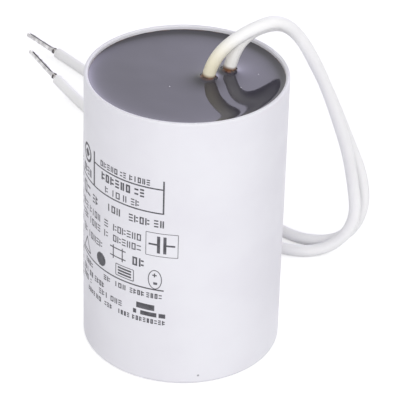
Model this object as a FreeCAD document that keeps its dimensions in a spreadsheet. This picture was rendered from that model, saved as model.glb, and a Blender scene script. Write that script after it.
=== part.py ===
import FreeCAD, Part
import math
import os
import Sketcher

# Motor capacitor in a round plastic cup: a wound film roll with sprayed metal ends, potted in
# resin, with two free leads that come up through the resin and end in crimped sleeves.
# Millimetres. The origin is the middle of the cup's base, +Z is the cup's axis, and the leads
# arch over the rim towards +X and lie on the surface behind the cup, towards +Y.

# Sizes that can be set by themselves
SIZES = {
    "case_diameter": 45.0,
    "case_height": 67.5,
    "case_wall": 0.95,
    "case_floor": 1.8,
    "rim_round": 0.4,
    "base_round": 1.0,
    "resin_drop": 1.45,
    "resin_over": 6.0,
    "resin_under": 2.4,
    "resin_around": 0.9,
    "wall_meniscus": 0.55,
    "lead_meniscus": 0.9,
    "core_diameter": 12.0,
    "core_wall": 1.0,
    "spray_thickness": 0.6,
    "spray_margin": 0.5,
    "solder_width": 4.4,
    "solder_crown": 2.6,
    "solder_rim": 0.5,
    "solder_thickness": 1.7,
    "lead_diameter": 2.9,
    "conductor_diameter": 1.1,
    "sleeve_diameter": 1.5,
    "sleeve_length": 12.0,
    "sleeve_gap": 1.6,
    "sleeve_mouth": 1.9,
    "sleeve_flare": 0.8,
    "sleeve_hollow": 0.9,
    "solder_gap": 0.05,
    "collar_sink": 0.25,
}

# Sizes that follow from the ones above
FOLLOWING = {
    "case_radius": "=case_diameter / 2",
    "cavity_radius": "=case_diameter / 2 - case_wall",
    "resin_level": "=case_height - resin_drop",
    "meniscus_top": "=case_height - resin_drop + wall_meniscus",
    "meniscus_radius": "=case_diameter / 2 - case_wall - wall_meniscus",
    "roll_radius": "=case_diameter / 2 - case_wall - resin_around",
    "core_radius": "=core_diameter / 2",
    "bore_radius": "=core_diameter / 2 - core_wall",
    "spray_radius": "=case_diameter / 2 - case_wall - resin_around - spray_margin",
    "spray_bottom": "=case_floor + resin_under",
    "roll_bottom": "=case_floor + resin_under + spray_thickness",
    "roll_top": "=case_height - resin_drop - resin_over - spray_thickness",
    "spray_top": "=case_height - resin_drop - resin_over",
    "solder_radius": "=solder_width / 2",
    "conductor_radius": "=conductor_diameter / 2",
    "sleeve_radius": "=sleeve_diameter / 2",
    "mouth_radius": "=sleeve_mouth / 2",
    "mouth_bore": "=(sleeve_mouth - sleeve_diameter + conductor_diameter) / 2",
    "solder_radius_top": "=solder_crown / 2",
    "collar_radius": "=lead_diameter / 2 + lead_meniscus - collar_sink",
    "collar_neck": "=lead_diameter / 2 - collar_sink",
}

doc = FreeCAD.newDocument("motor_capacitor")
sheet = doc.addObject("Spreadsheet::Sheet", "sizes")
for row, (alias, value) in enumerate({**SIZES, **FOLLOWING}.items(), 1):
    sheet.set(f"A{row}", alias.replace("_", " "))
    sheet.set(f"B{row}", str(value))
    sheet.setAlias(f"B{row}", alias)
doc.recompute()


def size(alias):
    """The number that the sheet holds for an alias."""
    return float(sheet.get(alias))


def vector(point):
    return FreeCAD.Vector(*point)


# Bodies turned from a section


def origin_plane(body, role):
    """One of the body's own origin planes or axes."""
    return next(item for item in body.Origin.OriginFeatures if item.Role == role)


def place_corner(sketch, side, point, corner):
    """Tie one end of a side of the section to its radius and height in the sheet."""
    radius, height = corner
    for kind, alias, axis in (("DistanceX", radius, -2), ("DistanceY", height, -1)):
        if alias is None:
            sketch.addConstraint(Sketcher.Constraint("PointOnObject", side, point, axis))
            continue
        constraint = Sketcher.Constraint(kind, -1, 1, side, point, size(alias))
        index = sketch.addConstraint(constraint)
        sketch.setExpression(f"Constraints[{index}]", f"sizes.{alias}")


def section_place(corner):
    return FreeCAD.Vector(*(size(alias) if alias else 0 for alias in corner), 0)


def hollow_arc(start, end, centre):
    """The arc of a hollow corner, which runs back from a side's end to its start."""
    first = math.atan2(end.y - centre.y, end.x - centre.x)
    last = math.atan2(start.y - centre.y, start.x - centre.x)
    if last < first:
        last += 2 * math.pi
    radius = (start - centre).Length
    return Part.ArcOfCircle(Part.Circle(centre, FreeCAD.Vector(0, 0, 1), radius), first, last)


def turned_body(label, corners, hollow=None):
    """A body of revolution about Z, from a closed section of (radius, height) aliases.

    None stands for zero. hollow is (number of a side, corner at the arc's centre, alias of
    its radius), for the one side that is a hollow arc and not a straight line.
    """
    hollow_side = hollow[0] if hollow else None
    body = doc.addObject("PartDesign::Body", label)
    sketch = body.newObject("Sketcher::SketchObject", label + "_section")
    sketch.AttachmentSupport = [(origin_plane(body, "XZ_Plane"), "")]
    sketch.MapMode = "FlatFace"
    places = [section_place(corner) for corner in corners]
    following = places[1:] + places[:1]
    for side, (start, end) in enumerate(zip(places, following)):
        if side == hollow_side:
            sketch.addGeometry(hollow_arc(start, end, section_place(hollow[1])))
        else:
            sketch.addGeometry(Part.LineSegment(start, end))
    # A line starts at its point 1, and the hollow arc at its point 2
    starts = [2 if side == hollow_side else 1 for side in range(len(corners))]
    for side, corner in enumerate(corners):
        after = (side + 1) % len(corners)
        joined = Sketcher.Constraint("Coincident", side, 3 - starts[side], after, starts[after])
        sketch.addConstraint(joined)
        place_corner(sketch, side, starts[side], corner)
    if hollow:
        radius = Sketcher.Constraint("Radius", hollow_side, size(hollow[2]))
        index = sketch.addConstraint(radius)
        sketch.setExpression(f"Constraints[{index}]", f"sizes.{hollow[2]}")
    turn = body.newObject("PartDesign::Revolution", label + "_turned")
    turn.Profile = sketch
    turn.ReferenceAxis = (sketch, ["V_Axis"])
    turn.Angle = 360
    doc.recompute()
    return body


def circle_edge(shape, radius, height):
    """The name of the round edge with this radius and height."""
    for number, edge in enumerate(shape.Edges, 1):
        curve = edge.Curve
        if not isinstance(curve, Part.Circle):
            continue
        if abs(curve.Radius - radius) < 1e-4 and abs(curve.Center.z - height) < 1e-4:
            return f"Edge{number}"
    raise ValueError(f"no round edge of radius {radius} at height {height}")


def round_edges(body, name, edges, alias):
    """Round the edges given as (radius, height) pairs of aliases."""
    base = body.Tip
    names = [
        circle_edge(base.Shape, size(radius), size(height) if height else 0)
        for radius, height in edges
    ]
    fillet = body.newObject("PartDesign::Fillet", name)
    fillet.Base = (base, names)
    fillet.setExpression("Radius", f"sizes.{alias}")
    doc.recompute()
    return fillet


def ring_body(label, inner, outer, bottom, top):
    """A plain ring between two radii and two heights."""
    return turned_body(label, [(inner, bottom), (outer, bottom), (outer, top), (inner, top)])


# The cup: one moulding, closed below and open at the rim
case = turned_body(
    "case",
    [
        (None, None),
        ("case_radius", None),
        ("case_radius", "case_height"),
        ("cavity_radius", "case_height"),
        ("cavity_radius", "case_floor"),
        (None, "case_floor"),
    ],
)
round_edges(case, "case_base_edge", [("case_radius", None)], "base_round")
round_edges(
    case,
    "case_rim_edges",
    [("case_radius", "case_height"), ("cavity_radius", "case_height")],
    "rim_round",
)

# The winding: metallised film on a core tube, with metal sprayed on both ends
core_tube = ring_body("core_tube", "bore_radius", "core_radius", "roll_bottom", "roll_top")
film_roll = ring_body("film_roll", "core_radius", "roll_radius", "roll_bottom", "roll_top")
contact_top = ring_body("contact_top", "core_radius", "spray_radius", "roll_top", "spray_top")
contact_bottom = ring_body(
    "contact_bottom", "core_radius", "spray_radius", "spray_bottom", "roll_bottom"
)

# Routes of the leads. Each point is (x, y, height). The heights of the first list are
# measured from the resin's surface, those of the second from the surface below the cup.
# Lead 1 starts in the core tube's bore, at the bottom contact.
RESIN = size("resin_level")
LAID = size("lead_diameter") / 2
# Heights over the roll's lower end at which the insulation of lead 1 starts and first turns
START_IN_BORE = 2.7
FIRST_TURN_IN_BORE = 13.2
# Height over the top contact at which the insulation of lead 2 starts
START_OVER_CONTACT = 2.2
LEAD_1_START = (0.8, -0.1, size("roll_bottom") + START_IN_BORE)
LEAD_1_LOW = (1.6, 0.3, size("roll_bottom") + FIRST_TURN_IN_BORE)
LEAD_1_RISE = [
    (0.4, -0.6, -33.0),
    (1.6, 0.6, -17.0),
    (3.4, 0.0, -3.8),
    (5.2, -0.1, 5.6),
    (12.8, 2.5, 10.9),
    (21.3, 8.5, 11.2),
    (29.5, 17.9, -5.7),
    (37.0, 27.4, -30.2),
    (39.9, 32.9, -44.2),
]
LEAD_1_LAID = [
    (41.6, 33.1, 9.1),
    (35.1, 32.4, LAID),
    (24.7, 31.2, LAID),
    (8.9, 42.2, LAID),
    (-9.9, 68.9, LAID),
    (-22.6, 91.2, LAID),
    (-30.9, 103.9, LAID),
    (-35.8, 110.6, 3.0),
]
# Lead 2 starts above the top contact
LEAD_2_START = (8.6, 3.4, size("spray_top") + START_OVER_CONTACT)
LEAD_2_RISE = [
    (9.3, 3.2, 4.8),
    (14.7, 7.2, 9.4),
    (23.1, 15.1, 6.3),
    (30.6, 23.2, -11.2),
    (36.8, 30.9, -29.2),
    (43.4, 36.8, -48.0),
]
LEAD_2_LAID = [
    (42.8, 36.8, 6.9),
    (36.1, 35.3, LAID),
    (23.6, 38.8, LAID),
    (12.2, 59.2, LAID),
    (-3.7, 81.1, LAID),
    (-15.7, 101.1, LAID),
    (-28.4, 118.3, LAID),
    (-36.8, 128.2, LAID),
]
# Where the bare end of lead 1 is soldered under the bottom contact
LEAD_1_JOINT = (9.6, 0.2)


def over_resin(points):
    return [(x, y, RESIN + height) for x, y, height in points]


route_1 = [LEAD_1_START, LEAD_1_LOW] + over_resin(LEAD_1_RISE) + LEAD_1_LAID
route_2 = [LEAD_2_START] + over_resin(LEAD_2_RISE) + LEAD_2_LAID

# Share of the shorter run that a bend's tangent takes
BEND_SHARE = 0.45


def bend(before, corner, after):
    """The arc at a corner of a route: its start, middle, end and radius."""
    back, ahead = before - corner, after - corner
    reach = BEND_SHARE * min(back.Length, ahead.Length)
    back.normalize()
    ahead.normalize()
    half_turn = (math.pi - back.getAngle(ahead)) / 2
    radius = reach / math.tan(half_turn)
    inward = back + ahead
    inward.normalize()
    middle = corner + inward * (math.hypot(reach, radius) - radius)
    return corner + back * reach, middle, corner + ahead * reach, radius


def route_edges(points, name):
    """Straight runs joined by tangent arcs. Prints the radii."""
    places = [vector(point) for point in points]
    edges, radii = [], []
    here = places[0]
    for before, corner, after in zip(places, places[1:], places[2:]):
        start, middle, end, radius = bend(before, corner, after)
        edges.append(Part.LineSegment(here, start).toShape())
        edges.append(Part.Arc(start, middle, end).toShape())
        radii.append(round(radius, 1))
        here = end
    edges.append(Part.LineSegment(here, places[-1]).toShape())
    print(name, "radii", radii, "smallest in diameters", round(min(radii) / (2 * LAID), 1))
    return edges


def direction(start, end):
    step = vector(end) - vector(start)
    step.normalize()
    return step


def swept(edges, radius, name):
    """A round solid along a path, with its volume set against section times length."""
    wire = Part.Wire(edges)
    start = wire.Edges[0]
    along = start.tangentAt(start.FirstParameter)
    section = Part.Wire(Part.Circle(start.valueAt(start.FirstParameter), along, radius).toShape())
    solid = wire.makePipe(Part.Face(section))
    expected = math.pi * radius**2 * wire.Length
    print(name, "length", round(wire.Length, 1), "volume share", round(solid.Volume / expected, 5))
    return solid


def add_shape(label, shape):
    """A feature whose shape is set here."""
    feature = doc.addObject("Part::Feature", label)
    feature.Shape = shape
    return feature


def line_edge(start, end):
    return Part.LineSegment(start, end).toShape()


# Leads: each a stranded conductor through a tube of insulation, stripped at both ends
BARE_REACH = size("sleeve_gap") + size("sleeve_length") - size("sleeve_hollow")
CONDUCTOR_RADIUS = size("conductor_radius")


def insulation_solid(edges, name):
    outer = swept(edges, LAID, name)
    return outer.cut(swept(edges, CONDUCTOR_RADIUS, name + " bore"))


def far_end(route):
    """The insulation's far end and the way that the bare conductor goes on."""
    return vector(route[-1]), direction(route[-2], route[-1])


def bare_end(route):
    end, along = far_end(route)
    return line_edge(end, end + along * BARE_REACH)


edges_1 = route_edges(route_1, "lead_1")
edges_2 = route_edges(route_2, "lead_2")

# Lead 1 goes on down the bore and bends out under the bottom contact
joint_height = size("spray_bottom") - CONDUCTOR_RADIUS - size("solder_gap")
start_1 = vector(LEAD_1_START)
down_1 = direction(LEAD_1_LOW, LEAD_1_START)
corner_1 = start_1 + down_1 * ((start_1.z - joint_height) / -down_1.z)
joint_1 = FreeCAD.Vector(LEAD_1_JOINT[0], LEAD_1_JOINT[1], joint_height)
bare_1 = route_edges([joint_1, corner_1, start_1], "lead_1 bare start")
# Lead 2 goes straight on down to the top contact
start_2 = vector(LEAD_2_START)
down_2 = direction(route_2[1], LEAD_2_START)
gap_2 = size("solder_gap") + CONDUCTOR_RADIUS * math.hypot(down_2.x, down_2.y)
joint_2 = start_2 + down_2 * ((start_2.z - size("spray_top") - gap_2) / -down_2.z)

lead_1_insulation = add_shape("lead_1_insulation", insulation_solid(edges_1, "lead_1_insulation"))
lead_2_insulation = add_shape("lead_2_insulation", insulation_solid(edges_2, "lead_2_insulation"))
lead_1_conductor = add_shape(
    "lead_1_conductor",
    swept(bare_1 + edges_1 + [bare_end(route_1)], CONDUCTOR_RADIUS, "lead_1_conductor"),
)
lead_2_conductor = add_shape(
    "lead_2_conductor",
    swept(
        [line_edge(joint_2, start_2)] + edges_2 + [bare_end(route_2)],
        CONDUCTOR_RADIUS,
        "lead_2_conductor",
    ),
)


# Crimped sleeves on the bare ends, with a flared mouth and an open tip
def sleeve(label, route):
    body = turned_body(
        label,
        [
            ("mouth_bore", None),
            ("mouth_radius", None),
            ("sleeve_radius", "sleeve_flare"),
            ("sleeve_radius", "sleeve_length"),
            ("conductor_radius", "sleeve_length"),
            ("conductor_radius", "sleeve_flare"),
        ],
    )
    end, along = far_end(route)
    turn = FreeCAD.Rotation(FreeCAD.Vector(0, 0, 1), along)
    body.Placement = FreeCAD.Placement(end + along * size("sleeve_gap"), turn)
    print(label, "tip", end + along * (size("sleeve_gap") + size("sleeve_length")), "axis", along)
    return body


end_sleeve_1 = sleeve("end_sleeve_1", route_1)
end_sleeve_2 = sleeve("end_sleeve_2", route_2)


# Solder on the sprayed contacts: a low mound with the conductor's own shape out of it
def solder_joint(label, place, upwards, conductor):
    mound = turned_body(
        label + "_mound",
        [
            (None, None),
            ("solder_radius", None),
            ("solder_radius", "solder_rim"),
            ("solder_radius_top", "solder_thickness"),
            (None, "solder_thickness"),
        ],
    )
    turn = FreeCAD.Rotation(FreeCAD.Vector(1, 0, 0), 0 if upwards else 180)
    mound.Placement = FreeCAD.Placement(place, turn)
    joint = doc.addObject("Part::Cut", label)
    joint.Base = mound
    joint.Tool = conductor
    return joint


solder_joint_bottom = solder_joint(
    "solder_joint_bottom",
    FreeCAD.Vector(LEAD_1_JOINT[0], LEAD_1_JOINT[1], size("spray_bottom")),
    False,
    lead_1_conductor,
)
solder_joint_top = solder_joint(
    "solder_joint_top",
    FreeCAD.Vector(joint_2.x, joint_2.y, size("spray_top")),
    True,
    lead_2_conductor,
)


# The resin: one pour that fills the cup round the winding and climbs the wall and the leads
resin_pour = turned_body(
    "resin_pour",
    [
        (None, "case_floor"),
        ("cavity_radius", "case_floor"),
        ("cavity_radius", "meniscus_top"),
        ("meniscus_radius", "resin_level"),
        (None, "resin_level"),
    ],
    hollow=(2, ("meniscus_radius", "meniscus_top"), "wall_meniscus"),
)


def resin_collar(label, below, above):
    """The ring of resin that climbs a lead where it comes out of the surface."""
    collar = turned_body(
        label,
        [
            (None, None),
            ("collar_radius", None),
            ("collar_neck", "lead_meniscus"),
            (None, "lead_meniscus"),
        ],
        hollow=(1, ("collar_radius", "lead_meniscus"), "lead_meniscus"),
    )
    along = direction(below, above)
    exit_place = vector(below) + along * ((RESIN - below[2]) / along.z)
    collar.Placement = FreeCAD.Placement(exit_place, FreeCAD.Rotation())
    collar.setExpression("Placement.Base.z", "sizes.resin_level")
    print(label, "exit", exit_place, "along", along)
    return collar


collar_1 = resin_collar("resin_collar_1", route_1[4], route_1[5])
collar_2 = resin_collar("resin_collar_2", route_2[0], route_2[1])
resin_whole = doc.addObject("Part::MultiFuse", "resin_whole")
resin_whole.Shapes = [resin_pour, collar_1, collar_2]
potted_pieces = doc.addObject("Part::MultiFuse", "potted_pieces")
potted_pieces.Shapes = [
    core_tube,
    film_roll,
    contact_top,
    contact_bottom,
    solder_joint_top,
    solder_joint_bottom,
    lead_1_insulation,
    lead_1_conductor,
    lead_2_insulation,
    lead_2_conductor,
]
resin_fill = doc.addObject("Part::Cut", "resin_fill")
resin_fill.Base = resin_whole
resin_fill.Tool = potted_pieces
doc.recompute()

SUBPARTS = [
    case,
    resin_fill,
    core_tube,
    film_roll,
    contact_top,
    contact_bottom,
    solder_joint_top,
    solder_joint_bottom,
    lead_1_insulation,
    lead_1_conductor,
    lead_2_insulation,
    lead_2_conductor,
    end_sleeve_1,
    end_sleeve_2,
]

# Nothing is written unless every object and every sub-part is sound
for item in doc.Objects:
    if "Invalid" in item.State or "Error" in item.State:
        raise RuntimeError(f"{item.Label} failed: {item.State}")
for item in SUBPARTS:
    if item.Shape.isNull() or not item.Shape.isValid():
        raise RuntimeError(f"{item.Label} has no sound shape")
    if len(item.Shape.Solids) != 1:
        raise RuntimeError(f"{item.Label} holds {len(item.Shape.Solids)} solids")

os.makedirs("parts", exist_ok=True)
for item in SUBPARTS:
    item.Shape.exportStep(f"parts/{item.Label}.step")
    print(item.Label, "volume", round(item.Shape.Volume, 1))
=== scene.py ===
"""Potted motor capacitor: a plain white cup, dark resin and two flexible leads.

The solids of the frame give the places and sizes. Each operator below dresses one piece or
group of like pieces. Lengths are in metres, and the frame's axes are used throughout: the
cup stands on z = 0 with its axis on Z, and its leads lie behind it, towards +Y.
"""

import math

import bmesh
import bpy
from mathutils import Matrix, Vector, noise


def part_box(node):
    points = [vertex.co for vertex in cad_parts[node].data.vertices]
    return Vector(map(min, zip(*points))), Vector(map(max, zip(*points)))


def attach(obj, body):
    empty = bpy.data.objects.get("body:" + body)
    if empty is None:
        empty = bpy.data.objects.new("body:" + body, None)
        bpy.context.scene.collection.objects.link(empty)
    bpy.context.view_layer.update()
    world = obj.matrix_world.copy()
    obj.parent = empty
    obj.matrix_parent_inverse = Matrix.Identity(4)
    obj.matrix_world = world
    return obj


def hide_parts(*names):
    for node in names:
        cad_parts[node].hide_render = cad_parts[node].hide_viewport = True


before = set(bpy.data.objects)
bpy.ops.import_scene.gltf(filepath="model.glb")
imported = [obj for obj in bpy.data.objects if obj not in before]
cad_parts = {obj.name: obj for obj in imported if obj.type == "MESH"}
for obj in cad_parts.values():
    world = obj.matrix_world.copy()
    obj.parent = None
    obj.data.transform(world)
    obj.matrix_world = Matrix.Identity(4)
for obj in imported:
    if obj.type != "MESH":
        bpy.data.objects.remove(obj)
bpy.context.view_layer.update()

bl_info = {
    "name": "Potted motor capacitor",
    "version": (1, 0, 0),
    "blender": (4, 5, 0),
    "location": "3D View > Sidebar > Capacitor",
    "description": "Dresses a capacitor's solids: cup, resin, leads, crimped ends and print",
    "category": "Object",
}

BODY = "root"
MILLIMETRE = 0.001

CUP_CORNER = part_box("case")[1]
CUP_RADIUS = CUP_CORNER.x
CUP_HEIGHT = CUP_CORNER.z
RESIN_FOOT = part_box("resin_fill")[0].z
ROLL_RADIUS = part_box("film_roll")[1].x
CORE_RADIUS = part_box("core_tube")[1].x
SPRAY_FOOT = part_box("contact_bottom")[0].z
SPRAY_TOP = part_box("contact_top")[1].z

# Height of the middle of a lead that lies on the ground
LYING = 0.00145
# Control points of the leads' middle lines, each of which is one smooth line. Lead 1 starts in
# the bore of the winding and lead 2 over its upper end, and both rise through the resin.
LEAD_1_ROUTE = [
    (0.0008, -0.0001, 0.0075),
    (0.0016, 0.0003, 0.0180),
    (0.0004, -0.0006, 0.03305),
    (0.0016, 0.0006, 0.04905),
    (0.0038, 0.0000, 0.06225),
    (0.0056, -0.0001, 0.07165),
    (0.0128, 0.0025, 0.07695),
    (0.0213, 0.0085, 0.07725),
    (0.0295, 0.0179, 0.06035),
    (0.0370, 0.0274, 0.03585),
    (0.0399, 0.0329, 0.02185),
    (0.0416, 0.0331, 0.0091),
    (0.0351, 0.0324, LYING),
    (0.0247, 0.0312, LYING),
    (0.0089, 0.0422, LYING),
    (-0.0099, 0.0689, LYING),
    (-0.0226, 0.0912, LYING),
    (-0.0309, 0.1039, LYING),
    (-0.0358, 0.1106, 0.0030),
]
LEAD_2_ROUTE = [
    (0.0086, 0.0034, 0.06225),
    (0.0093, 0.0032, 0.07085),
    (0.0147, 0.0072, 0.07545),
    (0.0231, 0.0151, 0.07235),
    (0.0306, 0.0232, 0.05485),
    (0.0368, 0.0309, 0.03685),
    (0.0434, 0.0368, 0.01805),
    (0.0428, 0.0368, 0.0069),
    (0.0361, 0.0353, LYING),
    (0.0236, 0.0388, LYING),
    (0.0122, 0.0592, LYING),
    (-0.0037, 0.0811, LYING),
    (-0.0157, 0.1011, LYING),
    (-0.0284, 0.1183, LYING),
    (-0.0368, 0.1282, LYING),
]
# Bare ends of the leads, from their solder joints to where the insulation starts
LEAD_1_TAIL = [(0.0096, 0.0002, 0.0036), (0.0005, -0.0002, 0.0036)]
LEAD_2_TAIL = [(0.00842, 0.00345, 0.0602)]

# The spot of dirt on the cup's wall, and how far the pattern of specks in the resin is moved
DIRT_PLACE = (0.00433, -0.02208, 0.0024)
SPECK_SHIFT = (-0.0041, 0.0064, 0)

# Settings that a user would change


def metres(name, description, default):
    """A length, in metres."""
    return bpy.props.FloatProperty(
        name=name,
        description=description,
        default=default,
        precision=5,
        subtype="DISTANCE",
        unit="LENGTH",
    )


def degrees(name, description, default):
    """An angle, given in degrees."""
    return bpy.props.FloatProperty(
        name=name,
        description=description,
        default=math.radians(default),
        precision=4,
        subtype="ANGLE",
        unit="ROTATION",
    )


def number(name, description, default):
    """A plain number."""
    return bpy.props.FloatProperty(
        name=name, description=description, default=default, precision=4
    )


def count(name, description, default):
    """A whole number."""
    return bpy.props.IntProperty(name=name, description=description, default=default)


def colour(name, description, default):
    """A colour, linear."""
    return bpy.props.FloatVectorProperty(
        name=name, description=description, default=default, size=3, subtype="COLOR"
    )


class CAPACITOR_PG_cup(bpy.types.PropertyGroup):
    """Moulded cup."""

    wall: metres("Wall", "Thickness of the cup's wall", 0.00095)
    floor: metres("Floor", "Thickness of the cup's floor", 0.0018)
    rim_round: metres("Rim rounding", "Radius of both edges of the rim", 0.0004)
    base_round: metres("Base rounding", "Radius of the edge of the base", 0.0010)
    sides: count("Sides", "Sides of the round wall", 224)
    plastic: colour("Plastic", "Colour of the white plastic", (0.79, 0.785, 0.83))
    shade: colour("Plastic shade", "Colour of the plastic where it is duller", (0.76, 0.75, 0.80))
    dirt: colour("Dirt", "Colour of the spot of dirt low on the wall", (0.18, 0.18, 0.20))
    dirt_core: metres("Dirt's core", "Radius within which the spot is darkest", 0.00015)
    dirt_edge: metres("Dirt's edge", "Radius at which the spot ends", 0.00035)


class CAPACITOR_PG_resin(bpy.types.PropertyGroup):
    """Potting resin."""

    level: metres("Level", "Height of the resin's surface", 0.06597)
    wall_climb: metres("Climb at the wall", "How high the resin climbs the wall", 0.00032)
    wall_reach: metres("Reach at the wall", "How far from the wall it sinks by two thirds", 0.0007)
    wall_swell: metres("Swell at the wall", "Height of the broad swell at the wall", 0.00036)
    wall_swell_reach: metres("Its reach", "How far the swell at the wall sinks by two thirds", 0.0021)
    lead_climb: metres("Climb at the leads", "How high the resin climbs a lead", 0.0005)
    lead_reach: metres("Reach at the leads", "How far from a lead it sinks by two thirds", 0.0003)
    lead_swell: metres("Swell at the leads", "Height of the broad swell round a lead", 0.00055)
    lead_swell_reach: metres("Its reach", "How far the swell at a lead sinks by two thirds", 0.0020)
    film: metres("Film", "Width of the thin brown edge at a lead", 0.00026)
    wall_film: metres("Film at the wall", "Width of the thin brown edge at the wall", 0.00016)
    rings: count("Rings", "Rings of the surface's mesh", 150)
    sides: count("Sides", "Sides of the surface's mesh", 320)
    dark: colour("Resin", "Colour of the resin", (0.024, 0.021, 0.036))
    amber: colour("Thin resin", "Colour of the resin where it is thin", (0.16, 0.055, 0.018))
    burnt: colour("Burnt resin", "Its colour where it is thicker", (0.014, 0.007, 0.006))
    speck: colour("Specks", "Colour of the dust in the surface", (0.75, 0.74, 0.76))
    cells: number("Cells", "Cells of the surface to a metre, which may hold a speck each", 260.0)
    speck_size: number("Speck size", "Radius of a speck, as a share of its cell", 0.032)
    bare_cells: number("Bare cells", "Share of the cells that hold no speck", 0.955)


class CAPACITOR_PG_leads(bpy.types.PropertyGroup):
    """Insulated leads."""

    diameter: metres("Diameter", "Diameter over the insulation", 0.0029)
    conductor: metres("Conductor", "Diameter of the stranded conductor", 0.0011)
    buried: metres("Buried", "Length of a lead's free run that is still in the resin", 0.0044)
    free_1: metres("Length of lead 1", "Length of lead 1 from the resin on", 0.2206)
    free_2: metres("Length of lead 2", "Length of lead 2 from the resin on", 0.2247)
    sides: count("Sides", "Sides of the insulation's mesh", 40)
    white: colour("Insulation", "Colour of the insulation", (0.90, 0.895, 0.90))
    cream: colour("Stained insulation", "Colour of a stained lead near the resin", (0.86, 0.80, 0.62))
    brown: colour("Resin on insulation", "Colour of a lead where resin wets it", (0.16, 0.066, 0.022))
    stain: metres("Stain", "Length of the stained part of a lead", 0.0100)
    stain_1: number("Stain of lead 1", "Strength of the stain on lead 1", 1.0)
    stain_2: number("Stain of lead 2", "Strength of the stain on lead 2", 0.15)
    wet: metres("Wet foot", "How far from its root's middle a lead is all brown", 0.0019)
    dry: metres("Dry from", "How far from its root's middle the brown ends", 0.0027)
    ragged: metres("Ragged edge", "How far the edges of the stains wander", 0.0003)


class CAPACITOR_PG_ends(bpy.types.PropertyGroup):
    """Stripped ends and crimped sleeves."""

    bare_gap: metres("Bare gap", "Bare strands between insulation and sleeve", 0.0016)
    length: metres("Sleeve", "Length of a sleeve", 0.0120)
    diameter: metres("Sleeve diameter", "Outer diameter of a sleeve", 0.0015)
    mouth: metres("Mouth", "Outer diameter at the flared mouth", 0.0019)
    flare: metres("Flare", "Length of the flared mouth", 0.0008)
    hollow: metres("Hollow", "Depth of the open tip beyond the strands", 0.0009)
    seam: degrees("Seam", "Turn of a sleeve's seam from its top to its right", -8.0)
    gap: degrees("Seam gap", "Half of the angle that the seam leaves open", 14.0)
    hidden: metres("Hidden strands", "Length of the strands inside the insulation", 0.0030)
    strands: count("Strands", "Strands of the outer layer", 12)
    strand: metres("Strand", "Diameter of a strand", 0.00022)
    turns: number("Turns", "Turns of the strands over the bare length", 0.7)
    bright: colour("Tinned metal", "Colour of the sleeves", (0.78, 0.77, 0.78))
    dull: colour("Dull metal", "Colour of the sleeves where they are dull", (0.48, 0.47, 0.48))
    bare: colour("Bare strands", "Colour of the strands", (0.84, 0.82, 0.80))
    worn: colour("Dull strands", "Colour of the strands where they are dull", (0.58, 0.56, 0.55))
    # Painted shade: near-black colour of the strands inside a sleeve, where the sleeve shades them
    dark: colour("Sleeved strands", "Colour of the strands in a sleeve", (0.05, 0.05, 0.05))


class CAPACITOR_PG_print(bpy.types.PropertyGroup):
    """Printed marks on the cup."""

    line: metres("Line", "Width of a printed line", 0.00027)
    raised: metres("Raised", "Height of the ink over the wall", 0.00002)
    sunk: metres("Sunk", "Depth of the ink in the wall", 0.00001)
    ink: colour("Ink", "Colour of the ink", (0.055, 0.054, 0.062))
    thin: number("Thin ink", "How many times paler the ink is where it is thin", 2.2)


class CAPACITOR_PG_stage(bpy.types.PropertyGroup):
    """Camera, floor and light."""

    elevation: degrees("Elevation", "How far the camera looks down", 31.933)
    roll: degrees("Roll", "Turn of the camera about its line of sight", 1.682)
    distance: metres("Distance", "From the camera to the point that it looks at", 0.54866)
    aside: metres("Aside", "That point's distance from the cup's axis", 0.003622)
    height: metres("Height", "That point's height", 0.034901)
    lens: number("Lens", "Focal length, in millimetres, on a 36 mm sensor", 219.98)
    world: number("World", "Strength of the even light", 0.51)
    key: number("Key", "Power of the high lamp in front, in watts", 5.4)
    front: number("Front", "Power of the low lamp in front, in watts", 5.2)
    fill: number("Fill", "Power of the lamp at the side, in watts", 3.1)
    back: number("Back", "Power of the lamp behind, in watts", 30.0)
    fade: metres("Fade", "From the middle of the lamp behind to where it fades out", 0.92)


SETTINGS = {
    "capacitor_cup": CAPACITOR_PG_cup,
    "capacitor_resin": CAPACITOR_PG_resin,
    "capacitor_leads": CAPACITOR_PG_leads,
    "capacitor_ends": CAPACITOR_PG_ends,
    "capacitor_print": CAPACITOR_PG_print,
    "capacitor_stage": CAPACITOR_PG_stage,
}

# Nodes of materials and of geometry


def is_socket(value):
    """Whether a value comes from another node."""
    return isinstance(value, bpy.types.NodeSocket)


def add_node(tree, kind, given=None, **settings):
    """Add a node. given holds its inputs, by name or number, as values or as outputs."""
    made = tree.nodes.new(kind)
    for name, value in settings.items():
        setattr(made, name, value)
    for key, value in (given or {}).items():
        socket = made.inputs[key]
        if is_socket(value):
            tree.links.new(value, socket)
        else:
            socket.default_value = value
    return made


def maths(tree, operation, *values):
    """The output of a Math node."""
    made = add_node(tree, "ShaderNodeMath", dict(enumerate(values)), operation=operation)
    return made.outputs[0]


def blend_colours(tree, factor, first, second):
    """A mix of two colours."""
    first, second = (tone if is_socket(tone) else (*tone, 1) for tone in (first, second))
    made = add_node(tree, "ShaderNodeMix", {0: factor, 6: first, 7: second}, data_type="RGBA")
    return made.outputs[2]


def spread(tree, value, low, high, least, most):
    """A value eased from one range to another, and kept inside it."""
    made = add_node(
        tree,
        "ShaderNodeMapRange",
        {0: value, 1: low, 2: high, 3: least, 4: most},
        interpolation_type="SMOOTHSTEP",
    )
    return made.outputs[0]


def object_place(tree):
    """Place on the piece, in metres."""
    return add_node(tree, "ShaderNodeTexCoord").outputs["Object"]


def away_from(tree, place, spot):
    """Distance of a place from a spot."""
    made = add_node(tree, "ShaderNodeVectorMath", {0: place, 1: spot}, operation="DISTANCE")
    return made.outputs["Value"]


def cloud(tree, place, scale, detail=3.0, rough=0.55):
    """Soft noise between 0 and 1, with so many lumps to a metre."""
    made = add_node(
        tree,
        "ShaderNodeTexNoise",
        {"Vector": place, "Scale": scale, "Detail": detail, "Roughness": rough},
    )
    return made.outputs[0]


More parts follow.
